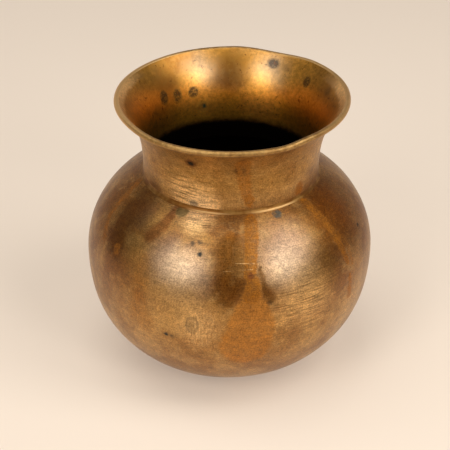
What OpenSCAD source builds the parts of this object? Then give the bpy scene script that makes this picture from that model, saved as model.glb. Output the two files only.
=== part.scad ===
// Brass kalash: a round-bellied pot for water, with a narrow neck and a flared, wired mouth.
// Three shells of sheet brass are brazed to each other at the widest line and at the foot of the neck.
// Millimetres, +Z up. The origin is the centre of the flat that the pot stands on.

/* [Body] */
// Widest diameter of the belly
belly_d = 130; // [115:1:150]
// Height of the widest line above the ground
belly_z = 53; // [46:0.5:60]
// Diameter of the flat underneath
base_d = 58; // [40:1:72]
// Thickness of the sheet in the bowl and the shoulder
wall = 1.1; // [0.9:0.1:1.6]
// Fullness of the curve below the widest line, where 2 is an ellipse
bowl_fullness = 2.27; // [2:0.01:2.6]
// Fullness of the curve above the widest line
shoulder_fullness = 2.17; // [2:0.01:2.6]

/* [Neck] */
// Outer diameter of the neck at its foot
neck_d = 78.2; // [64:0.2:84]
// Height at which the shoulder reaches the foot of the neck
landing_z = 91.7; // [86:0.1:97]
// Thickness of the sheet at the foot of the neck
neck_wall = 0.9; // [0.7:0.1:1.2]
// How far the neck reaches down inside the shoulder
tail = 4; // [2.5:0.5:8]

/* [Mouth] */
// Outer diameter of the lip
mouth_d = 102.4; // [92:0.2:112]
// Height of the lip above the ground
height = 128.5; // [118:0.5:140]
// Lean of the flare from upright, where it reaches the lip
flare_angle = 40; // [36:1:50]
// Diameter of the wire inside the lip
wire_d = 1.4; // [1.2:0.1:2.2]
// Thickness of the sheet where it is rolled round the wire
lip_wall = 0.6; // [0.5:0.05:0.7]
// How far round the wire the sheet is rolled, in degrees
roll_turn = 285; // [240:5:290]

/* [Joints] */
// Height over which the bowl and the shoulder lap at the widest line
lap = 4; // [2:0.5:6]
// Height of the line of brazing metal that shows at the widest line
belly_seam = 0.5; // [0.3:0.1:1]
// Width of the fillet of brazing metal at the foot of the neck
neck_seam = 1.2; // [0.8:0.1:2]

/* [Hidden] */

BODY_STEPS = 24;
NECK_STEPS = 18;
ROLL_STEPS = 30;
FILLET_STEPS = 8;
CUT = 1;
$fn = 128;

belly_r = belly_d / 2;
base_r = base_d / 2;
neck_r = neck_d / 2;
wire_r = wire_d / 2;
lip_r = wire_r + lip_wall;
lap_r = belly_r - wall / 2;

// Centre of the wire, in the half section
wire_centre = [mouth_d / 2 - lip_r, height - lip_r];
// Where the outside of the neck first touches the wire
roll_start = wire_centre + wire_r * [-cos(flare_angle), sin(flare_angle)];

// Full height of each curve of the body, had it run on to the axis
bowl_h = belly_z / arc_share(base_r / belly_r, bowl_fullness);
landing_r = neck_r + neck_seam;
shoulder_h = (landing_z - belly_z) / arc_share(landing_r / belly_r, shoulder_fullness);

// The shoulder runs straight from its landing to the neck, under the fillet of brazing metal
landing = [landing_r, landing_z];
landing_run = [neck_r, shoulder_z(neck_r)] - landing;
neck_corner = landing + landing_run;
flare_z = neck_corner.y + neck_seam;

// The power of the flare that leans it by flare_angle where it reaches the wire
flare_power = tan(flare_angle) * (roll_start.y - flare_z) / (roll_start.x - neck_r);

// On a rounded quarter arc with both sides 1 long, one coordinate from the other
function arc_share(share, fullness) = pow(1 - pow(share, fullness), 1 / fullness);

// On the same arc, the point at an angle, as [share of the radius, share of the height]
function arc_point(angle, fullness) = [pow(cos(angle), 2 / fullness), pow(sin(angle), 2 / fullness)];

// The angle at which that point has a given share of the radius
function arc_angle(share, fullness) = acos(pow(share, fullness / 2));

// Height of the outside of the shoulder at a radius
function shoulder_z(r) = belly_z + shoulder_h * arc_share(r / belly_r, shoulder_fullness);

// The outside of the bowl, from the edge of its flat up to the widest line
function bowl_curve() =
    let (last = arc_angle(base_r / belly_r, bowl_fullness))
    [for (i = [0 : BODY_STEPS])
        let (p = arc_point(last * (1 - i / BODY_STEPS), bowl_fullness))
        [belly_r * p.x, belly_z - bowl_h * p.y]];

// The outside of the shoulder, from the widest line up to its landing
function shoulder_curve() =
    let (last = arc_angle(landing_r / belly_r, shoulder_fullness))
    [for (i = [0 : BODY_STEPS])
        let (p = arc_point(last * i / BODY_STEPS, shoulder_fullness))
        [belly_r * p.x, belly_z + shoulder_h * p.y]];

// The outside of the neck, from the top of its straight foot up to the wire
function flare_curve() =
    [for (i = [0 : NECK_STEPS])
        let (t = i / NECK_STEPS)
        [neck_r + (roll_start.x - neck_r) * pow(t, flare_power), flare_z + (roll_start.y - flare_z) * t]];

// The roll round the wire, after the point where it starts
function roll_curve() =
    [for (i = [1 : ROLL_STEPS])
        let (angle = 180 - flare_angle - roll_turn * i / ROLL_STEPS)
        wire_centre + wire_r * [cos(angle), sin(angle)]];

// The fillet from the landing up to the neck, tangent to both
function fillet_curve(top) =
    [for (i = [0 : FILLET_STEPS])
        let (t = i / FILLET_STEPS)
        (1 - t) * (1 - t) * landing + 2 * t * (1 - t) * neck_corner + t * t * top];

// The direction to the left of a line of points, at one of them
function left(line, i) =
    let (run = line[min(i + 1, len(line) - 1)] - line[max(i - 1, 0)])
    [-run.y, run.x] / norm(run);

// The outline of a sheet whose outside is the line, with a thickness to the left of each of its points
function sheet(line, thickness) =
    concat(line, [for (i = [len(line) - 1 : -1 : 0]) line[i] + thickness[i] * left(line, i)]);

// The same thickness at every point of a line
function even(line, thickness) = [for (p = line) thickness];

// The thickness of the neck's sheet, which thins evenly up the flare
function flare_thickness() = [for (i = [0 : NECK_STEPS]) neck_wall + (lip_wall - neck_wall) * i / NECK_STEPS];

module turned(outline) {
    rotate_extrude() polygon(outline);
}

// A disc that clears everything inside a radius, over a height
module clearing(radius, bottom, top) {
    translate([0, 0, bottom]) cylinder(r = radius, h = top - bottom);
}

module bowl() {
    outside = concat([[0, 0]], bowl_curve());
    color("darkgoldenrod")
    difference() {
        turned(sheet(outside, even(outside, wall)));
        clearing(lap_r, belly_z - lap, belly_z + CUT);
        clearing(belly_r + CUT, belly_z - belly_seam, belly_z + CUT);
    }
}

module shoulder() {
    outside = concat(shoulder_curve(), [landing + 2 * landing_run]);
    color("goldenrod")
    difference() {
        union() {
            turned(sheet(outside, even(outside, wall)));
            turned([
                [belly_r - wall, belly_z - lap],
                [lap_r, belly_z - lap],
                [lap_r, belly_z],
                [belly_r - wall, belly_z]
            ]);
        }
        clearing(neck_r, landing_z - wall - CUT, height);
    }
}

module neck() {
    outside = concat([[neck_r, landing_z - tail]], flare_curve(), roll_curve());
    thickness = concat([neck_wall], flare_thickness(), even(roll_curve(), lip_wall));
    color("peru")
    turned(sheet(outside, thickness));
}

module rim_wire() {
    color("sienna")
    rotate_extrude() translate(wire_centre) circle(r = wire_r, $fn = 48);
}

module belly_braze() {
    color("khaki")
    turned([
        [lap_r, belly_z - belly_seam],
        [belly_r, belly_z - belly_seam],
        [belly_r, belly_z],
        [lap_r, belly_z]
    ]);
}

module neck_braze() {
    color("gold")
    turned(concat([neck_corner], fillet_curve([neck_r, flare_z])));
}

bowl();
shoulder();
neck();
rim_wire();
belly_braze();
neck_braze();
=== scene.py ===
"""An aged brass kalash: three raised shells, brazed together, with a wired lip. Metres, +Z up."""
import math
from typing import NamedTuple

import bmesh
import bpy
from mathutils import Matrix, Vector, noise


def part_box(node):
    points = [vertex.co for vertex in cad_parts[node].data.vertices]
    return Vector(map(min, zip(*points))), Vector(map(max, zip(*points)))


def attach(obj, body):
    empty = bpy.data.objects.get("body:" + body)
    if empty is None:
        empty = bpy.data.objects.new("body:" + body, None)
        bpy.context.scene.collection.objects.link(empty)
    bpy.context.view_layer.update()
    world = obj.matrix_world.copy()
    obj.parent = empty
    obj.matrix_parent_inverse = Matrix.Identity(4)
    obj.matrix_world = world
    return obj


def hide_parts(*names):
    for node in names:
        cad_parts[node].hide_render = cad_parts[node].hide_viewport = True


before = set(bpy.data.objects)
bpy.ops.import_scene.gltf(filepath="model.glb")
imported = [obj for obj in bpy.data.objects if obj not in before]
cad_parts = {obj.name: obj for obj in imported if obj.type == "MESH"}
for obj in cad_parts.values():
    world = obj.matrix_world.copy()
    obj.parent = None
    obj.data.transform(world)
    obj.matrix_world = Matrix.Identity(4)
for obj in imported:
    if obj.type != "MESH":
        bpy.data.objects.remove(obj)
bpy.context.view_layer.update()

MM = 0.001

# ---------------------------------------------------------------- sizes, from the frame

bowl_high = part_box("bowl")[1]
shoulder_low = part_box("shoulder")[0]
neck_low, neck_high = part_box("neck")
wire_low, wire_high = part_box("rim_wire")
belly_braze_low, belly_braze_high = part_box("belly_braze")
neck_braze_low, neck_braze_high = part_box("neck_braze")

BELLY_R = bowl_high.x
BELLY_Z = belly_braze_high.z
BELLY_SEAM_Z = belly_braze_low.z
LAP_Z = shoulder_low.z
LANDING_R = neck_braze_high.x
LANDING_Z = neck_braze_low.z
FLARE_Z = neck_braze_high.z
HEIGHT = neck_high.z
TAIL_Z = neck_low.z
WIRE_R = (wire_high.z - wire_low.z) / 2

# What the boxes don't hold, as the CAD has it
BASE_R = 29 * MM
WALL = 1.1 * MM
NECK_R = 39.1 * MM
NECK_WALL = 0.9 * MM
LIP_WALL = 0.6 * MM
LAP_R = BELLY_R - WALL / 2
BOWL_FULLNESS = 2.27
SHOULDER_FULLNESS = 2.17
FLARE_ANGLE = math.radians(40)
ROLL_TURN = math.radians(285)
NECK_FOOT_Z = FLARE_Z - (LANDING_R - NECK_R)

# The wire is drawn a little thin, so that its surface doesn't coincide with the sheet round it
WIRE_SLACK = 0.03 * MM

# How many sides a turned piece has, how far its edges turn before they are sharp, and what counts as the axis
SIDES = 300
SHARP_ANGLE = math.radians(35)
AXIS_R = MM / 1000


# ---------------------------------------------------------------- the half section

def arc_share(share, fullness):
    """On a rounded quarter arc with sides 1 long, one coordinate from the other."""
    return (1 - share ** fullness) ** (1 / fullness)


def arc(fullness, share, steps):
    """Points of that arc, from the widest up to a share of the radius, as shares of radius and height."""
    last = math.acos(share ** (fullness / 2))
    angles = [last * i / steps for i in range(steps + 1)]
    return [(math.cos(a) ** (2 / fullness), math.sin(a) ** (2 / fullness)) for a in angles]


BOWL_H = BELLY_Z / arc_share(BASE_R / BELLY_R, BOWL_FULLNESS)
SHOULDER_H = (LANDING_Z - BELLY_Z) / arc_share(LANDING_R / BELLY_R, SHOULDER_FULLNESS)
WIRE_CENTRE = (wire_high.x - WIRE_R, (wire_low.z + wire_high.z) / 2)
ROLL_START = (
    WIRE_CENTRE[0] - WIRE_R * math.cos(FLARE_ANGLE),
    WIRE_CENTRE[1] + WIRE_R * math.sin(FLARE_ANGLE),
)
FLARE_POWER = math.tan(FLARE_ANGLE) * (ROLL_START[1] - FLARE_Z) / (ROLL_START[0] - NECK_R)


def flare_r(height):
    """The outer radius of the neck at a height."""
    share = (height - FLARE_Z) / (ROLL_START[1] - FLARE_Z)
    return NECK_R + (ROLL_START[0] - NECK_R) * min(max(share, 0), 1) ** FLARE_POWER


def outer_r(height):
    """The outer radius of the pot at a height."""
    if height >= NECK_FOOT_Z:
        return flare_r(height)
    if height >= BELLY_Z:
        return BELLY_R * arc_share((height - BELLY_Z) / SHOULDER_H, SHOULDER_FULLNESS)
    return BELLY_R * arc_share((BELLY_Z - height) / BOWL_H, BOWL_FULLNESS)


def bowl_curve(steps=72):
    """The outside of the bowl, from the edge of its flat up to the bottom of the belly seam."""
    points = arc(BOWL_FULLNESS, BASE_R / BELLY_R, steps)
    curve = [(BELLY_R * r, BELLY_Z - BOWL_H * z) for r, z in reversed(points)]
    curve = [p for p in curve if p[1] < BELLY_SEAM_Z - MM / 10]
    return curve + [(outer_r(BELLY_SEAM_Z), BELLY_SEAM_Z)]


def shoulder_curve(steps=64):
    """The outside of the shoulder, from the widest line up to its landing."""
    points = arc(SHOULDER_FULLNESS, LANDING_R / BELLY_R, steps)
    return [(BELLY_R * r, BELLY_Z + SHOULDER_H * z) for r, z in points]


def flare_curve(steps=48):
    """The outside of the neck, from the top of the fillet up to where it touches the wire."""
    heights = [FLARE_Z + (ROLL_START[1] - FLARE_Z) * i / steps for i in range(steps + 1)]
    return [(flare_r(z), z) for z in heights]


def roll_curve(steps=36):
    """The roll round the wire, after the point where it starts."""
    angles = [math.pi - FLARE_ANGLE - ROLL_TURN * i / steps for i in range(1, steps + 1)]
    return [(WIRE_CENTRE[0] + WIRE_R * math.cos(a), WIRE_CENTRE[1] + WIRE_R * math.sin(a)) for a in angles]


def left_of(line, i):
    """The unit direction to the left of a line of points, at one of them."""
    ahead = line[min(i + 1, len(line) - 1)]
    behind = line[max(i - 1, 0)]
    run = Vector((ahead[0] - behind[0], ahead[1] - behind[1])).normalized()
    return (-run.y, run.x)


def inside_of(line, thickness):
    """The line moved to its left by a thickness at each point."""
    sides = [left_of(line, i) for i in range(len(line))]
    return [(p[0] + t * s[0], p[1] + t * s[1]) for p, s, t in zip(line, sides, thickness)]


# ---------------------------------------------------------------- how the pot departs from a true one

# Azimuths are in degrees here and below: 0 is the camera's side of the pot, and they grow towards +X.
# The lean and the lip's tilt are slopes, also towards +X.
LEAN = 0.0145
LIP_TILT = 0.007
TILT_FROM_Z = 105 * MM
SAG_DEPTH = 1.15 * MM
SAG_AZIMUTH = -7
SAG_REACH = 58
SAG_FROM_Z = 98 * MM
WAVE_DEPTH = 0.16 * MM
WAVE_LENGTH = 21 * MM
FLAT_RIM_Z = 10 * MM

# Knocks that moved the sheet: azimuth, height, reach round the pot in degrees, reach in height,
# how far inwards, how far upwards
KNOCKS = (
    (154, HEIGHT, 24, 14 * MM, 0, -1.1 * MM),
    (36, HEIGHT, 12, 5 * MM, 0, 0.4 * MM),
    (-14, 51 * MM, 5, 5 * MM, 0.3 * MM, 0),
)


def ease(share):
    """A smooth step from 0 to 1."""
    share = min(max(share, 0), 1)
    return share * share * (3 - 2 * share)


def turn_from(azimuth, other):
    """The turn from one azimuth to another, from -180 to 180 degrees."""
    return (other - azimuth + 180) % 360 - 180


def settled(point):
    """Where a point of the true body of revolution is on the real pot."""
    x, y, z = point
    radius = math.hypot(x, y)
    azimuth = math.degrees(math.atan2(x, -y))
    rise = LIP_TILT * x * ease((z - TILT_FROM_Z) / (HEIGHT - TILT_FROM_Z))
    # The lip hangs a little lower at the front
    turn = turn_from(SAG_AZIMUTH, azimuth)
    rise -= SAG_DEPTH * ease(2 - 2 * abs(turn) / SAG_REACH) * ease((z - SAG_FROM_Z) / (HEIGHT - SAG_FROM_Z))
    push = WAVE_DEPTH * noise.noise(Vector(point) / WAVE_LENGTH) * ease(z / FLAT_RIM_Z)
    for knock_azimuth, knock_z, round_reach, height_reach, inwards, upwards in KNOCKS:
        turn = turn_from(knock_azimuth, azimuth)
        share = ease(1 - math.hypot(turn / round_reach, (z - knock_z) / height_reach))
        push -= inwards * share
        rise += upwards * share
    grow = 1 + push / max(radius, MM)
    return Vector((x * grow + LEAN * z, y * grow, z + rise))


# ---------------------------------------------------------------- pieces

def lathe(name, outline, materials, material_at=None):
    """A closed outline of (radius, height) turned about Z, with its corners kept sharp."""
    mesh = bmesh.new()
    turns = [2 * math.pi * i / SIDES for i in range(SIDES)]
    rings = []
    for radius, height in outline:
        if radius < AXIS_R:
            rings.append([mesh.verts.new(settled((0, 0, height)))])
            continue
        ring = [settled((radius * math.sin(a), -radius * math.cos(a), height)) for a in turns]
        rings.append([mesh.verts.new(place) for place in ring])
    for k, low in enumerate(rings):
        high = rings[(k + 1) % len(rings)]
        if len(low) == 1 and len(high) == 1:
            continue
        for i in range(SIDES):
            j = (i + 1) % SIDES
            corners = [low[i % len(low)], low[j % len(low)], high[j % len(high)], high[i % len(high)]]
            face = mesh.faces.new(list(dict.fromkeys(corners)))
            face.smooth = True
            face.material_index = material_at(k) if material_at else 0
    bmesh.ops.recalc_face_normals(mesh, faces=mesh.faces)
    for edge in mesh.edges:
        if len(edge.link_faces) == 2 and edge.calc_face_angle() > SHARP_ANGLE:
            edge.smooth = False
    data = bpy.data.meshes.new(name)
    mesh.to_mesh(data)
    mesh.free()
    piece = bpy.data.objects.new(name, data)
    bpy.context.scene.collection.objects.link(piece)
    for material in materials:
        data.materials.append(material)
    return piece


def carry(piece, node):
    """Hangs a piece on the root body and hides the CAD node that it stands for."""
    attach(piece, "root")
    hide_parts(node)


def make_bowl(outside, dark):
    line = [(0, 0)] + bowl_curve()
    inner = inside_of(line, [WALL] * len(line))
    # Above the lap's foot the bowl is half as thick, because the shoulder laps inside it
    edge = [(LAP_R, BELLY_SEAM_Z), (LAP_R, LAP_Z), (BELLY_R - WALL, LAP_Z)]
    inner = [p for p in inner if p[1] < LAP_Z]
    outline = line + edge + inner[::-1]
    bowl = lathe("bowl_shell", outline, [outside, dark], lambda k: 0 if k < len(line) else 1)
    carry(bowl, "bowl")


def make_shoulder(outside, dark):
    line = shoulder_curve() + [(NECK_R, NECK_FOOT_Z)]
    inner = inside_of(line, [WALL] * len(line))
    lap = [(BELLY_R - WALL, LAP_Z), (LAP_R, LAP_Z), (LAP_R, BELLY_Z)]
    outline = line + [(NECK_R, inner[-1][1])] + inner[-2::-1] + lap
    shoulder = lathe("shoulder_shell", outline, [outside, dark], lambda k: 0 if k < len(line) else 1)
    carry(shoulder, "shoulder")


def make_neck(outside, lip, inside):
    flare = flare_curve()
    roll = roll_curve()
    line = [(NECK_R, TAIL_Z)] + flare + roll
    taper = [NECK_WALL + (LIP_WALL - NECK_WALL) * i / (len(flare) - 1) for i in range(len(flare))]
    inner = inside_of(line, [NECK_WALL] + taper + [LIP_WALL] * len(roll))
    lip_from = len(line)
    lip_to = lip_from + len(roll)

    def material_at(k):
        if k < lip_from:
            return 0
        return 1 if k < lip_to else 2

    neck = lathe("neck_shell", line + inner[::-1], [outside, lip, inside], material_at)
    carry(neck, "neck")


def make_wire(material, steps=24):
    radius = WIRE_R - WIRE_SLACK
    angles = [2 * math.pi * i / steps for i in range(steps)]
    outline = [(WIRE_CENTRE[0] + radius * math.cos(a), WIRE_CENTRE[1] + radius * math.sin(a)) for a in angles]
    carry(lathe("lip_wire", outline, [material]), "rim_wire")


def make_belly_seam(material):
    low_edge = [(LAP_R, BELLY_SEAM_Z), (outer_r(BELLY_SEAM_Z), BELLY_SEAM_Z)]
    outline = low_edge + [(BELLY_R, BELLY_Z), (LAP_R, BELLY_Z)]
    carry(lathe("belly_seam", outline, [material]), "belly_braze")


def make_neck_seam(material, steps=8):
    """The fillet at the foot of the neck: a curve from the shoulder to the neck, tangent to both."""
    start, corner, end = (LANDING_R, LANDING_Z), (NECK_R, NECK_FOOT_Z), (NECK_R, FLARE_Z)
    shares = [i / steps for i in range(steps + 1)]
    curve = [tuple((1 - t) ** 2 * a + 2 * t * (1 - t) * b + t * t * c for a, b, c in zip(start, corner, end))
             for t in shares]
    carry(lathe("neck_seam", [corner] + curve, [material]), "neck_braze")


# ---------------------------------------------------------------- a short way to write shader nodes

def on_pot(azimuth, height_mm):
    """A point of the true pot's outside, in millimetres."""
    radius = outer_r(height_mm * MM) / MM
    angle = math.radians(azimuth)
    return Vector((radius * math.sin(angle), -radius * math.cos(angle), height_mm))


class Spot(NamedTuple):
    """A round patch of the pot. Its azimuth is in degrees, and its height, reach and edge are in mm.

    Its share is how strong it is, and tall is how far it is stretched upwards.
    """
    azimuth: float
    height: float
    reach: float
    edge: float = 0.6
    share: float = 1.0
    tall: float = 1.0


class Run(NamedTuple):
    """A run down the pot. Its route holds azimuths in degrees, with heights and half widths in mm.

    Its edge is a share of its half width, and its share is how strong it is.
    """
    route: tuple
    edge: float = 0.25
    share: float = 1.0


class Finish:
    """A material, and short calls that add nodes to it and join them up."""

    def __init__(self, name):
        self.material = bpy.data.materials.new(name)
        self.material.use_nodes = True
        self.tree = self.material.node_tree
        self.shader = self.tree.nodes["Principled BSDF"]
        self.place = self.true_place()
        # The same place shaken by noise, which gives stains ragged, wandering or finely crumbled edges
        self.ragged = self.shaken(self.place, size=3.2, amount=2.2)
        self.loose = self.shaken(self.place, size=9, amount=6)
        self.crumbled = self.shaken(self.place, size=0.9, amount=1.5)

    def node(self, kind, values, output=0, **settings):
        """Adds a node, sets its sockets from a dictionary, and gives back one of its outputs."""
        node = self.tree.nodes.new(kind)
        for name, value in settings.items():
            setattr(node, name, value)
        for socket, value in values.items():
            self.fill(node.inputs[socket], value)
        return node.outputs[output]

    def fill(self, socket, value):
        if isinstance(value, bpy.types.NodeSocket):
            self.tree.links.new(value, socket)
        else:
            socket.default_value = value

    def math(self, operation, *values, clamp=False):
        return self.node("ShaderNodeMath", dict(enumerate(values)), operation=operation, use_clamp=clamp)

    def vector(self, operation, *values, output="Vector"):
        return self.node("ShaderNodeVectorMath", dict(enumerate(values)), output, operation=operation)

    def length(self, value):
        return self.vector("LENGTH", value, output="Value")

    def step(self, value, low, high, to_low=0.0, to_high=1.0):
        """A smooth step from one value to another, as the input goes from low to high."""
        values = {"Value": value, "From Min": low, "From Max": high, "To Min": to_low, "To Max": to_high}
        return self.node("ShaderNodeMapRange", values, interpolation_type="SMOOTHSTEP")

    def mix(self, share, first, second):
        """From the first colour to the second."""
        values = {"Factor": share, "A": self.opaque(first), "B": self.opaque(second)}
        return self.node("ShaderNodeMix", values, output="Result", data_type="RGBA")

    def opaque(self, colour):
        return (*colour, 1) if isinstance(colour, tuple) else colour

    def blend(self, share, first, second):
        """From the first number to the second."""
        values = {"Factor": share, "A": first, "B": second}
        return self.node("ShaderNodeMix", values, output="Result", data_type="FLOAT")

    def scaled(self, colour, share):
        """A colour made lighter or darker by a number."""
        grey = self.node("ShaderNodeCombineXYZ", {"X": share, "Y": share, "Z": share})
        return self.vector("MULTIPLY", colour, grey)

    def noise(self, place, size, detail=3.0, roughness=0.55, output="Fac"):
        """Noise whose features are about a size across, in millimetres."""
        values = {"Vector": place, "Scale": 1 / size, "Detail": detail, "Roughness": roughness}
        return self.node("ShaderNodeTexNoise", values, output=output)

    def parts(self, place):
        """The x, y and z of a place."""
        split = self.tree.nodes.new("ShaderNodeSeparateXYZ")
        self.fill(split.inputs["Vector"], place)
        return list(split.outputs)

    def true_place(self):
        """The place on the pot in millimetres, with its lean taken out."""
        x, y, z = self.parts(self.node("ShaderNodeTexCoord", {}, output="Object"))
        upright = self.math("MULTIPLY_ADD", z, -LEAN, x)
        straight = self.node("ShaderNodeCombineXYZ", {"X": upright, "Y": y, "Z": z})
        return self.vector("MULTIPLY", straight, (1 / MM,) * 3)

    def shaken(self, place, size, amount):
        """The place moved by noise, so that what is measured from it gets a ragged edge."""
        colour = self.noise(place, size, detail=3.0, output="Color")
        offset = self.vector("SUBTRACT", colour, (0.5,) * 3)
        return self.vector("MULTIPLY_ADD", offset, (amount,) * 3, place)

    def height(self, place=None):
        """The height of a place, in millimetres."""
        return self.parts(place or self.place)[2]

    def around(self):
        """The place unrolled for brush marks: short across the marks and long along them."""
        radius = self.length(self.vector("MULTIPLY", self.place, (1, 1, 0)))
        rise = self.math("SUBTRACT", self.height(), BELLY_Z / MM)
        angle = self.math("ARCTAN2", rise, radius)
        across = self.math("MULTIPLY", angle, BELLY_R / MM)
        along = self.vector("MULTIPLY", self.place, (0.07, 0.07, 0))
        return self.vector("ADD", along, self.node("ShaderNodeCombineXYZ", {"Z": across}))

    def spot(self, spot, place=None):
        """The spot's share inside its reach, falling to 0 across its edge."""
        away = self.vector("SUBTRACT", place or self.ragged, tuple(on_pot(spot.azimuth, spot.height)))
        if spot.tall != 1:
            away = self.vector("MULTIPLY", away, (1, 1, 1 / spot.tall))
        return self.step(self.length(away), spot.reach + spot.edge, spot.reach - spot.edge, 0.0, spot.share)

    def spots(self, spots, place=None):
        """The strongest of several spots."""
        return self.most(*[self.spot(spot, place) for spot in spots])

    def run(self, run, place=None):
        """The run's share along its route, falling to 0 across its edge."""
        place = place or self.ragged
        nearest = None
        for first, second in zip(run.route, run.route[1:]):
            start = on_pot(*first[:2])
            way = on_pot(*second[:2]) - start
            from_start = self.vector("SUBTRACT", place, tuple(start))
            along = self.vector("DOT_PRODUCT", from_start, tuple(way / way.length_squared), output="Value")
            along = self.math("MULTIPLY", along, 1.0, clamp=True)
            foot = self.node("ShaderNodeVectorMath", {0: tuple(way), "Scale": along}, operation="SCALE")
            away = self.length(self.vector("SUBTRACT", from_start, foot))
            half = self.math("MULTIPLY_ADD", along, second[2] - first[2], first[2])
            share = self.math("DIVIDE", away, half)
            nearest = share if nearest is None else self.math("MINIMUM", nearest, share)
        return self.step(nearest, 1 + run.edge, 1 - run.edge, 0.0, run.share)

    def most(self, *shares):
        """The largest of several shares."""
        best = shares[0]
        for share in shares[1:]:
            best = self.math("MAXIMUM", best, share)
        return best

    def times(self, *shares):
        product = shares[0]
        for share in shares[1:]:
            product = self.math("MULTIPLY", product, share)
        return product

    def bump(self, height, depth, under=None):
        """Relief of a depth in millimetres."""
        values = {"Height": height, "Distance": depth * MM, "Strength": 1.0}
        if under:
            values["Normal"] = under
        return self.node("ShaderNodeBump", values)

    def show(self, colour, roughness, normal, metallic=1.0, coat=0.0, coat_roughness=0.4):
        inputs = self.shader.inputs
        self.fill(inputs["Base Color"], colour)
        self.fill(inputs["Roughness"], roughness)
        self.fill(inputs["Normal"], normal)
        self.fill(inputs["Metallic"], metallic)
        self.fill(inputs["Coat Weight"], coat)
        inputs["Coat Roughness"].default_value = coat_roughness
        return self.material


# ---------------------------------------------------------------- colours of the metal and its stains

BRIGHT = (0.85, 0.620, 0.380)
GILT = (0.70, 0.430, 0.170)
GOLD = (0.49, 0.280, 0.085)
NECK_GOLD = (0.4075, 0.2184, 0.0592)
BRASS = (0.34, 0.168, 0.038)
BROWN = (0.22, 0.083, 0.011)
UMBER = (0.115, 0.036, 0.004)
MAROON = (0.17, 0.080, 0.040)
PLUM = (0.32, 0.208, 0.130)
ORANGE = (0.31, 0.108, 0.008)
POOL_ORANGE = (0.40, 0.160, 0.022)
RUST = (0.16, 0.040, 0.008)
RUSSET = (0.25, 0.068, 0.004)
OLIVE = (0.17, 0.110, 0.032)
SLATE = (0.085, 0.072, 0.050)
SOOT = (0.022, 0.018, 0.010)
VERDIGRIS = (0.020, 0.060, 0.035)
HONEY = (0.57, 0.280, 0.065)
AMBER = (0.53, 0.245, 0.040)
EMBER = (0.70, 0.350, 0.036)
WARM = (0.84, 0.390, 0.055)
SHADOW = (0.38, 0.180, 0.024)
PALE = (0.42, 0.255, 0.110)
LAMPBLACK = (0.016, 0.008, 0.003)
BLACK = (0.004, 0.002, 0.001)

# ---------------------------------------------------------------- where the outside is stained or worn, and where highlights are painted on it

# Patches of another colour, each laid over those before it
TARNISH_PATCHES = (
    (GOLD, (Spot(-24, 61, 11, 8, share=0.6), Spot(33, 63, 12, 9, share=0.6))),
    (BROWN, (Spot(-47, 52, 9, 8, share=0.4),)),
    (MAROON, (Spot(-51, 87, 7, 6, share=0.6),)),
    (HONEY, (Spot(-39, 75, 8, 7, share=0.6), Spot(-37, 86, 5, 4, share=0.6))),
    # Purple-grey tarnish, also a painted highlight: paler brass where the lamps' highlights fall on the
    # shoulder
    (PLUM, (
        Spot(25, 79, 12, 9, share=0.8),
        Spot(-18, 73, 10, 8, share=0.8),
        Spot(-28, 76, 9, 7, share=0.72),
    )),
    (GOLD, (Spot(-18, 63, 8, 6, share=0.5),)),
)
WORN_SPOTS = (
    Spot(-19, 90, 6, 5, share=0.9),
    Spot(-20, 96, 8, 4, share=0.9),
    Spot(-27, 98, 8, 5, share=0.9),
    Spot(30, 60, 12, 9, share=0.45),
)
RUBBED_SPOT = Spot(-12, 50, 7, 6, tall=1.3)
# Painted highlight at the centres of the two big highlights on the shoulder, and rubbed brass at the foot of
# the neck
HIGHLIGHT_AND_RUBBED_SPOTS = (
    Spot(-22, 75, 7, 6, share=0.3),
    Spot(22, 75, 7, 6, share=0.3),
    Spot(-19, 93, 6, 4, share=0.3),
)
SCOURED_SPOTS = (
    Spot(30, 58, 12, 9),
    Spot(-18, 91, 9, 6),
    Spot(-32, 98, 10, 8),
    Spot(-15, 82, 9, 6, share=0.5),
)

# Stretches of darker tarnish
CENTRE_SHADE = Run(((0, 85, 3.5), (-1, 79, 6.5), (-1, 69, 6.0), (-2, 64, 3.5)), edge=0.6, share=0.95)
DRIP_SHADE = Run(((12, 76, 0.8), (13, 70, 1.6), (15, 64, 2.6)), edge=0.7, share=0.85)
LEFT_SHADE = Run(((-60, 92, 6), (-58, 82, 7), (-56, 73, 5.5)), edge=0.6)
BROWN_SMEAR = Run(((-33, 92, 1.8), (-36, 86, 2.6), (-40, 82, 3.0)), edge=0.5)
SHADE_SPOTS = (
    Spot(66, 87, 14, 9, share=0.85),
    Spot(66, 72, 9, 8, share=0.6),
    Spot(43, 71, 7, 6, share=0.85, tall=1.4),
)
RUSSET_SPOT = Spot(60, 85, 13, 8, share=0.6)

# The sides of the shoulder, which have lost their shine
FLANK_SPOTS = (Spot(68, 84, 22, 12), Spot(-66, 86, 20, 12))

# Runs of old liquid, dried to an orange oxide
NECK_RUN = Run(((6, 118, 3.2), (7, 110, 3.0), (9, 103, 2.6), (11, 97, 2.2)), edge=0.35, share=0.7)
CENTRE_RUN = Run(
    ((11, 99, 2.2), (11, 89, 3.1), (10, 86, 3.0), (9, 81, 2.8), (8, 75, 2.7), (9, 71, 2.8), (8, 66, 3.8)),
    edge=0.2, share=0.85,
)
CENTRE_POOL = Run(((9, 68, 3.6), (8, 63, 5.0), (8, 58, 8.0), (8, 50, 10.5), (6, 40, 11)), edge=0.14)
RIGHT_RUN = Run(
    ((48, 97, 2.6), (49, 90, 2.2), (51, 85, 2.0), (52, 79, 2.0), (53, 72, 1.8), (54, 66, 1.2)),
    edge=0.4,
)
RIGHT_BRANCH = Run(((54, 79, 1.0), (57, 72, 1.2), (57, 64, 1.0)), edge=0.6, share=0.6)
RIGHT_FOOT = Run(((54, 60, 1.0), (54, 50, 2.0)), edge=0.5, share=0.8)
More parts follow.
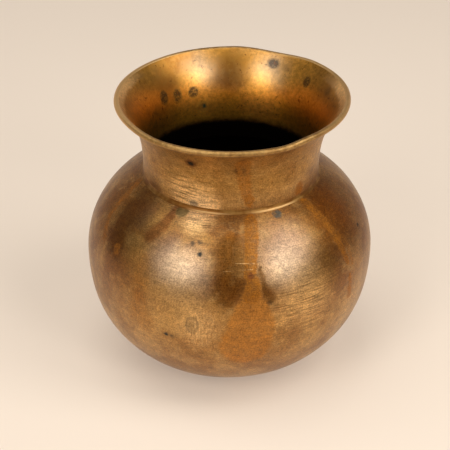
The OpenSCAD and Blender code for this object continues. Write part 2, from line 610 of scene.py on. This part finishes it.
LEFT_RUN = Run(((-76, 91, 1.4), (-71, 86, 1.6), (-71, 80, 1.5), (-69, 76, 1.4), (-65, 72, 1.4)), edge=0.5)
LEFT_BELLY_RUN = Run(((-38, 74, 3.0), (-37, 62, 4.5), (-36, 46, 5.5)), edge=0.6, share=0.4)
RAGGED_RUNS = (NECK_RUN, CENTRE_RUN, RIGHT_RUN, RIGHT_BRANCH, RIGHT_FOOT, LEFT_RUN)
OXIDE_SPOTS = (Spot(-54, 72, 2.4), Spot(-0.5, 86.5, 2.2, share=0.5))
RUST_SPOTS = (Spot(8.2, 73.6, 1.4, share=0.7), Spot(-23.6, 116, 2.6, share=0.6))

# Two fresh scratches across the middle run
SCRATCHES = (
    Run(((2, 78.2, 0.15), (10, 77.8, 0.25)), edge=0.6),
    Run(((-3, 75.4, 0.15), (9, 75.9, 0.20)), edge=0.6),
)

# Small marks
OLIVE_SPOT = Spot(-29.5, 91, 2.8, share=0.9)
SLATE_SPOT = Spot(27.4, 90.6, 2.1)
SMALL_SLATE_SPOT = Spot(-24, 94.4, 1.9, share=0.65)
DOTS = (
    Spot(-13.6, 80.6, 1.0),
    Spot(-18, 83.5, 1.0, share=0.7),
    Spot(-14.5, 84, 1.2, share=0.6, tall=0.5),
    Spot(-23.6, 116, 1.5),
    Spot(2, 114, 0.8, share=0.45, tall=2.8),
    Spot(7, 114, 0.8, share=0.45, tall=2.8),
    Spot(-25, 43, 0.9),
    Spot(-22.5, 43, 0.8, share=0.6),
    Spot(71, 74, 0.8),
    Spot(15, 62, 1.3, share=0.4),
)

# A ring left by a drop. The negative edge turns a spot inside out, which gives the ring its hole.
RING_RIM = Spot(-14.2, 51.2, 3.0, 0.7, share=0.55, tall=1.4)
RING_HOLE = Spot(-14.2, 51.2, 2.1, -0.7, tall=1.5)
RING_FILL = Spot(-14.2, 51.2, 2.6, 0.6, share=0.25, tall=1.5)

# Painted highlight: a thin bright line on the brazing metal at the foot of the neck, in two stretches in
# front, and the height of that line in mm
SEAM_HIGHLIGHT_SPOTS = (Spot(-14, 93, 7, 5), Spot(28, 93, 9, 5))
SEAM_HIGHLIGHT_Z = LANDING_Z / MM + 0.2

# ---------------------------------------------------------------- where the lip and inside are stained, and where light and shade are painted on them

# Painted reflection: pale gold on the lip at its left and right sides
LIP_SIDE_REFLECTION = (Spot(-100, 127, 40, 14), Spot(100, 127, 42, 14, share=0.65))
INNER_SIDES = (Spot(-105, 114, 26, 13, share=0.85), Spot(108, 114, 24, 13, share=0.85))
# Painted highlight: paler brass under the two highlights inside the neck
INNER_HIGHLIGHT_SPOTS = (Spot(-162, 120, 8, 6), Spot(155, 120, 8, 6))
# Painted light: warm bright patches below and beside the highlights inside the neck
INNER_LIT_PATCHES = (
    Spot(159, 106, 9, 6, tall=1.3),
    Spot(-164, 105, 6, 5, share=0.6),
    Spot(-154, 112, 8, 6, share=0.8),
    Spot(135, 121, 9, 7, share=0.6),
    Spot(-176, 127, 8, 6, share=0.4),
)
# Painted reflection: a pale band just inside the lip at its left and right sides
INNER_LIP_REFLECTION = (Spot(-92, 127, 20, 7), Spot(90, 127, 20, 7))
# Brown stains beside the inside highlights, together with painted shade that darkens the inside there
INNER_DARK_PATCHES = (
    Spot(110, 124, 5, 4, share=0.7),
    Spot(-179, 120, 8, 6),
    Spot(-137, 121, 7, 6),
    Spot(-147, 126, 7, 5),
)
INNER_STAINS = (
    Spot(-131, 113, 2.3, tall=1.6),
    Spot(-142, 111.5, 2.3, tall=1.6),
    Spot(-154, 111.5, 2.6),
    Spot(-160, 104, 2.6, 1.5, share=0.8),
    Spot(155, 123.5, 3.0, 1.2, tall=0.7),
    Spot(146, 123, 2.6, 1.4, share=0.5, tall=0.6),
    Spot(129, 120.5, 2.2, tall=1.3),
    Spot(108, 122, 2.4, 1.5, share=0.5),
    Spot(-158, 124.4, 0.9, tall=0.4),
)
INNER_ORANGE_SPOT = Spot(-157.5, 103.5, 0.9, share=0.8)
INNER_GREEN_SPOT = Spot(-161.5, 104, 1.2)


# ---------------------------------------------------------------- finishes

def tarnish(f, cloud, marks, upright):
    """The brass under its stains: brown or gold in clouds, plum on the shoulder that also pales the
    highlights there as a painted highlight, pale where it is rubbed, and a painted highlight at the centres
    of the two big highlights.
    """
    height = f.height(f.loose)
    low = f.step(height, 60, 46, 0.0, 0.7)
    neck = f.step(height, 90, 98, 0.0, 0.75)
    blotch = f.noise(f.ragged, size=7, detail=5.0, roughness=0.6)
    colour = f.mix(f.step(cloud, 0.36, 0.64), BROWN, BRASS)
    colour = f.mix(low, colour, f.mix(f.step(cloud, 0.38, 0.62), BRASS, GOLD))
    colour = f.mix(neck, colour, NECK_GOLD)
    colour = f.mix(f.step(blotch, 0.52, 0.66, 0.0, 0.45), colour, GOLD)
    colour = f.mix(f.step(blotch, 0.46, 0.34, 0.0, 0.4), colour, BROWN)
    for patch, spots in TARNISH_PATCHES:
        colour = f.mix(f.spots(spots, f.loose), colour, patch)
    wear_and_highlight = f.times(f.spots(WORN_SPOTS, f.loose), f.step(marks, 0.25, 0.55))
    colour = f.mix(wear_and_highlight, colour, GILT)
    rubbed = f.times(f.spot(RUBBED_SPOT, f.loose), f.step(upright, 0.3, 0.65, 0.3, 0.8))
    colour = f.mix(rubbed, colour, GILT)
    # Painted highlight at the centres of the big highlights, and rubbed brass at the foot of the neck
    return f.mix(f.spots(HIGHLIGHT_AND_RUBBED_SPOTS, f.loose), colour, BRIGHT)


def shades(f, smear):
    """Stretches of darker tarnish."""
    return f.most(
        f.run(CENTRE_SHADE, f.loose),
        f.run(DRIP_SHADE),
        f.run(LEFT_SHADE, f.loose),
        f.spots(SHADE_SPOTS, f.loose),
        f.times(smear, 0.6),
    )


def oxides(f, speckle):
    """Orange oxide where liquid ran down and dried."""
    runs = [f.run(run) for run in RAGGED_RUNS]
    share = f.most(*runs, f.run(LEFT_BELLY_RUN, f.loose), f.spots(OXIDE_SPOTS))
    return f.times(share, f.step(speckle, 0.3, 0.6, 0.5, 1.0))


def small_spots(f, speckle):
    """Dark dots and pits."""
    dots = f.times(f.spots(DOTS, f.crumbled), f.step(speckle, 0.2, 0.45, 0.6, 1.0))
    ring = f.times(f.spot(RING_RIM), f.spot(RING_HOLE))
    pits = f.step(f.noise(f.place, size=1.4, detail=2.0), 0.70, 0.8, 0.0, 0.6)
    return f.most(dots, ring, f.spot(RING_FILL), pits)


def brushed(f, colour, marks, grain, speckle):
    """The colour with brush marks and grain, which are plainest where the brass was scoured."""
    reach = f.blend(f.spots(SCOURED_SPOTS, f.loose), 0.12, 0.36)
    mark_share = f.math("MULTIPLY_ADD", f.step(marks, 0.25, 0.75, -1.0, 1.0), reach, 1.0)
    grain_share = f.step(grain, 0.25, 0.75, 0.64, 1.38)
    speckle_share = f.step(speckle, 0.25, 0.75, 0.80, 1.20)
    return f.scaled(colour, f.times(mark_share, grain_share, speckle_share))


def outer_brass():
    """Brushed and tarnished brass, with runs of orange oxide."""
    f = Finish("outer_brass")
    marks = f.noise(f.around(), size=0.5, detail=2.0, roughness=0.6)
    upright = f.noise(f.vector("MULTIPLY", f.place, (1, 1, 0.12)), size=0.6, detail=2.0)
    grain = f.noise(f.place, size=0.6, detail=2.0, roughness=0.7)
    speckle = f.noise(f.place, size=2.6, detail=5.0, roughness=0.7)
    cloud = f.noise(f.loose, size=16, detail=4.0)

    smear = f.run(BROWN_SMEAR)
    shade = shades(f, smear)
    colour = tarnish(f, cloud, marks, upright)
    colour = f.mix(f.times(shade, 0.7), colour, UMBER)
    colour = f.mix(f.spot(RUSSET_SPOT, f.loose), colour, RUSSET)
    colour = f.mix(f.times(smear, 0.5), colour, RUST)
    colour = f.mix(f.spot(OLIVE_SPOT), colour, OLIVE)

    pool = f.times(f.run(CENTRE_POOL), f.step(speckle, 0.3, 0.6, 0.6, 0.85))
    oxide = oxides(f, speckle)
    colour = f.mix(pool, colour, POOL_ORANGE)
    colour = f.mix(oxide, colour, ORANGE)
    oxide = f.most(oxide, f.times(pool, 0.7))
    for spot in RUST_SPOTS:
        colour = f.mix(f.spot(spot), colour, RUST)
    scratches = f.most(*[f.run(run, f.place) for run in SCRATCHES])
    colour = f.mix(f.times(scratches, f.step(speckle, 0.35, 0.6, 0.1, 0.6)), colour, GILT)
    dots = small_spots(f, speckle)
    colour = f.mix(dots, colour, SOOT)
    slate = f.times(f.spot(SLATE_SPOT), f.step(speckle, 0.38, 0.54, 0.3, 1.0))
    colour = f.mix(slate, colour, SLATE)
    colour = f.mix(f.spot(SMALL_SLATE_SPOT, f.crumbled), colour, SLATE)
    colour = brushed(f, colour, marks, grain, speckle)

    roughness = f.step(cloud, 0.3, 0.7, 0.42, 0.36)
    roughness = f.blend(f.most(oxide, dots, f.times(shade, 0.6)), roughness, 0.46)
    roughness = f.math("MULTIPLY_ADD", grain, 0.10, roughness)
    normal = f.bump(grain, depth=0.09)
    normal = f.bump(marks, depth=0.012, under=normal)
    normal = f.bump(speckle, depth=0.06, under=normal)
    metallic = f.blend(oxide, 1.0, 0.85)
    flanks = f.spots(FLANK_SPOTS, f.loose)
    upper_neck = f.step(f.height(), 96, 106)
    coat = f.blend(f.most(shade, oxide, flanks, upper_neck), 0.42, 0.05)
    return f.show(colour, roughness, normal, metallic, coat, coat_roughness=0.4)


def inner_brass():
    """The brighter, yellower inside of the neck, with painted highlights, painted reflections and painted
    bounce light, going black towards the belly as painted shade.
    """
    f = Finish("inner_brass")
    height = f.height(f.ragged)
    cloud = f.noise(f.loose, size=12, detail=4.0)
    speckle = f.noise(f.place, size=1.6, detail=4.0, roughness=0.7)
    marks = f.noise(f.around(), size=0.9, detail=2.0)
    blotch = f.noise(f.ragged, size=6, detail=5.0, roughness=0.65)
    pits = f.step(f.noise(f.ragged, size=1.8, detail=3.0), 0.62, 0.72, 0.0, 0.7)
    # Painted highlight: the patches under the two highlights inside the neck, which also carry the coat
    wear_and_highlight = f.spots(INNER_HIGHLIGHT_SPOTS, f.loose)
    dull = f.times(f.spots(INNER_DARK_PATCHES, f.loose), f.step(speckle, 0.3, 0.6, 0.2, 0.8))
    stains = f.times(f.spots(INNER_STAINS, f.crumbled), f.step(speckle, 0.36, 0.55, 0.35, 1.0))
    # Painted shade: the inside goes black down towards the belly
    black = f.step(height, 101.5, 95)

    colour = f.mix(f.step(cloud, 0.38, 0.60), AMBER, HONEY)
    colour = f.mix(f.step(blotch, 0.50, 0.64, 0.0, 0.5), colour, BROWN)
    # Painted light: lighter and redder lower down, for warm light bounced between the walls of the neck
    colour = f.mix(f.step(height, 114, 107), colour, EMBER)
    colour = f.mix(f.spots(INNER_SIDES, f.loose), colour, SHADOW)
    # Painted highlight: paler under the two inside highlights
    colour = f.mix(f.times(wear_and_highlight, 0.85), colour, PALE)
    # Painted light: warm bright patches round the inside highlights
    colour = f.mix(f.spots(INNER_LIT_PATCHES, f.loose), colour, WARM)
    # Painted reflection: a pale band just inside the lip at its sides
    colour = f.mix(f.times(f.spots(INNER_LIP_REFLECTION, f.loose), f.step(height, 124, 126)), colour, GILT)
    # Brown stains with painted shade beside the inside highlights
    colour = f.mix(dull, colour, BROWN)
    colour = f.mix(pits, colour, UMBER)
    stain_colour = f.mix(f.step(speckle, 0.52, 0.66), SOOT, UMBER)
    colour = f.mix(f.times(stains, 0.9), colour, stain_colour)
    colour = f.mix(f.spot(INNER_ORANGE_SPOT), colour, ORANGE)
    colour = f.mix(f.spot(INNER_GREEN_SPOT), colour, VERDIGRIS)
    colour = f.scaled(colour, f.step(speckle, 0.2, 0.8, 0.68, 1.28))
    # Painted shade: black low down inside the neck
    colour = f.mix(black, colour, BLACK)

    roughness = f.math("MULTIPLY_ADD", speckle, 0.12, 0.32)
    roughness = f.blend(f.most(stains, black), roughness, 0.55)
    normal = f.bump(marks, depth=0.015)
    normal = f.bump(speckle, depth=0.04, under=normal)
    return f.show(colour, roughness, normal, coat=f.blend(wear_and_highlight, 0.12, 1.0), coat_roughness=0.36)


def lip_brass():
    """The rolled lip, dull and knocked about, with pale gold at its sides as a painted reflection."""
    f = Finish("lip_brass")
    cloud = f.noise(f.ragged, size=5, detail=5.0, roughness=0.65)
    speckle = f.noise(f.place, size=1.2, detail=3.0, roughness=0.7)
    colour = f.mix(f.step(cloud, 0.38, 0.6), BRASS, GOLD)
    colour = f.scaled(colour, f.step(speckle, 0.25, 0.75, 0.60, 1.0))
    # Painted reflection: pale gold at the lip's left and right sides
    colour = f.mix(f.spots(LIP_SIDE_REFLECTION, f.loose), colour, GILT)
    roughness = f.math("MULTIPLY_ADD", speckle, 0.15, 0.42)
    return f.show(colour, roughness, f.bump(speckle, depth=0.05), coat=0.3)


def dark_brass():
    """The inside of the belly, near black as painted shade for its dark hollow."""
    f = Finish("dark_brass")
    cloud = f.noise(f.loose, size=14, detail=4.0)
    # Painted shade: near-black clouds in place of the dark hollow
    colour = f.mix(f.step(cloud, 0.35, 0.65), BLACK, LAMPBLACK)
    roughness = f.math("MULTIPLY_ADD", cloud, 0.2, 0.5)
    return f.show(colour, roughness, f.bump(cloud, depth=0.2), metallic=0.7)


def wire_brass():
    """The drawn wire in the lip, dull with age."""
    f = Finish("wire_brass")
    cloud = f.noise(f.place, size=6, detail=4.0)
    colour = f.mix(f.step(cloud, 0.38, 0.62), BROWN, BRASS)
    return f.show(colour, f.step(cloud, 0.3, 0.7, 0.45, 0.35), f.bump(cloud, depth=0.03))


def neck_seam_brass():
    """The brazing metal at the foot of the neck, tarnished, with a thin painted highlight along two stretches
    in front.
    """
    f = Finish("neck_seam_brass")
    cloud = f.noise(f.place, size=5, detail=4.0)
    marks = f.noise(f.around(), size=0.5, detail=2.0)
    from_line = f.math("ABSOLUTE", f.math("SUBTRACT", f.height(), SEAM_HIGHLIGHT_Z))
    # Painted highlight: a thin bright line along the crease, in two stretches in front
    seam_highlight = f.times(f.spots(SEAM_HIGHLIGHT_SPOTS), f.step(from_line, 0.4, 0.15))
    colour = f.mix(f.step(cloud, 0.38, 0.62), BROWN, BRASS)
    colour = f.mix(seam_highlight, colour, GILT)
    colour = f.mix(f.run(CENTRE_RUN), colour, ORANGE)
    colour = f.scaled(colour, f.step(marks, 0.2, 0.8, 0.75, 1.1))
    return f.show(colour, 0.52, f.bump(marks, depth=0.02), coat=0.2)


def make_pot():
    outside = outer_brass()
    inside = inner_brass()
    dark = dark_brass()
    make_bowl(outside, dark)
    make_shoulder(outside, dark)
    make_neck(outside, lip_brass(), inside)
    make_wire(wire_brass())
    make_belly_seam(outside)
    make_neck_seam(neck_seam_brass())


# ---------------------------------------------------------------- studio

FLOOR_SIZE = 6
FLOOR_COLOUR = (0.62, 0.52, 0.42, 1)
FLOOR_GLOW = (0.80, 0.68, 0.57, 1)
FLOOR_GLOW_STRENGTH = 0.33
ROOM_COLOUR = (0.11, 0.10, 0.085, 1)
BACKDROP_COLOUR = (0.75, 0.64, 0.52, 1)
CAMERA_PITCH = math.radians(32.05)
CAMERA_DISTANCE = 9 * BELLY_R
CAMERA_AIM = Vector((-1.25 * MM, 0, 61.6 * MM))
CAMERA_LENS = 101.65
SENSOR_WIDTH = 36


def make_floor():
    size = FLOOR_SIZE
    corners = [(-size, -size, 0), (size, -size, 0), (size, size, 0), (-size, size, 0)]
    data = bpy.data.meshes.new("floor")
    data.from_pydata(corners, [], [(0, 1, 2, 3)])
    floor = bpy.data.objects.new("floor", data)
    bpy.context.scene.collection.objects.link(floor)
    material = bpy.data.materials.new("floor")
    material.use_nodes = True
    shader = material.node_tree.nodes["Principled BSDF"]
    shader.inputs["Base Color"].default_value = FLOOR_COLOUR
    shader.inputs["Emission Color"].default_value = FLOOR_GLOW
    shader.inputs["Emission Strength"].default_value = FLOOR_GLOW_STRENGTH
    shader.inputs["Roughness"].default_value = 0.8
    data.materials.append(material)


def soft_box(name, azimuth, elevation, distance, size, power):
    """An area light in a direction from the pot, facing it."""
    a, e = math.radians(azimuth), math.radians(elevation)
    way = Vector((math.sin(a) * math.cos(e), -math.cos(a) * math.cos(e), math.sin(e)))
    light = bpy.data.lights.new(name, "AREA")
    light.shape = "RECTANGLE"
    light.size, light.size_y = size
    light.energy = power
    lamp = bpy.data.objects.new(name, light)
    lamp.location = Vector((0, 0, BELLY_Z)) + way * distance
    lamp.rotation_mode = "QUATERNION"
    lamp.rotation_quaternion = (-way).to_track_quat("-Z", "Y")
    bpy.context.scene.collection.objects.link(lamp)


def make_lights():
    soft_box("left_box", azimuth=-37, elevation=34, distance=1.1, size=(0.36, 0.75), power=4.6)
    soft_box("right_box", azimuth=70, elevation=50, distance=1.0, size=(0.42, 0.70), power=4.2)
    soft_box("front_box", azimuth=38, elevation=30, distance=1.0, size=(0.24, 0.40), power=2.6)
    soft_box("top_box", azimuth=-80, elevation=76, distance=1.3, size=(1.0, 1.0), power=8)


def make_room():
    """A dim room, pale low down behind the pot."""
    world = bpy.data.worlds.new("room")
    world.use_nodes = True
    tree = world.node_tree
    split = tree.nodes.new("ShaderNodeSeparateXYZ")
    tree.links.new(tree.nodes.new("ShaderNodeTexCoord").outputs["Generated"], split.inputs["Vector"])

    def step(socket, low, high):
        node = tree.nodes.new("ShaderNodeMapRange")
        node.interpolation_type = "SMOOTHSTEP"
        node.inputs["From Min"].default_value = low
        node.inputs["From Max"].default_value = high
        tree.links.new(socket, node.inputs["Value"])
        return node.outputs["Result"]

    share = tree.nodes.new("ShaderNodeMath")
    share.operation = "MULTIPLY"
    tree.links.new(step(split.outputs["Y"], 0.2, 0.7), share.inputs[0])
    tree.links.new(step(split.outputs["Z"], 0.6, 0.2), share.inputs[1])
    mix = tree.nodes.new("ShaderNodeMix")
    mix.data_type = "RGBA"
    mix.inputs["A"].default_value = ROOM_COLOUR
    mix.inputs["B"].default_value = BACKDROP_COLOUR
    tree.links.new(share.outputs["Value"], mix.inputs["Factor"])
    tree.links.new(mix.outputs["Result"], tree.nodes["Background"].inputs["Color"])
    bpy.context.scene.world = world


def make_camera():
    camera = bpy.data.cameras.new("camera")
    camera.lens = CAMERA_LENS
    camera.sensor_width = SENSOR_WIDTH
    eye = bpy.data.objects.new("camera", camera)
    way = Vector((0, -math.cos(CAMERA_PITCH), math.sin(CAMERA_PITCH)))
    eye.location = CAMERA_AIM + CAMERA_DISTANCE * way
    eye.rotation_euler = (math.pi / 2 - CAMERA_PITCH, 0, 0)
    bpy.context.scene.collection.objects.link(eye)
    bpy.context.scene.camera = eye
    bpy.context.scene.view_settings.view_transform = "Standard"


make_pot()
make_floor()
make_lights()
make_room()
make_camera()
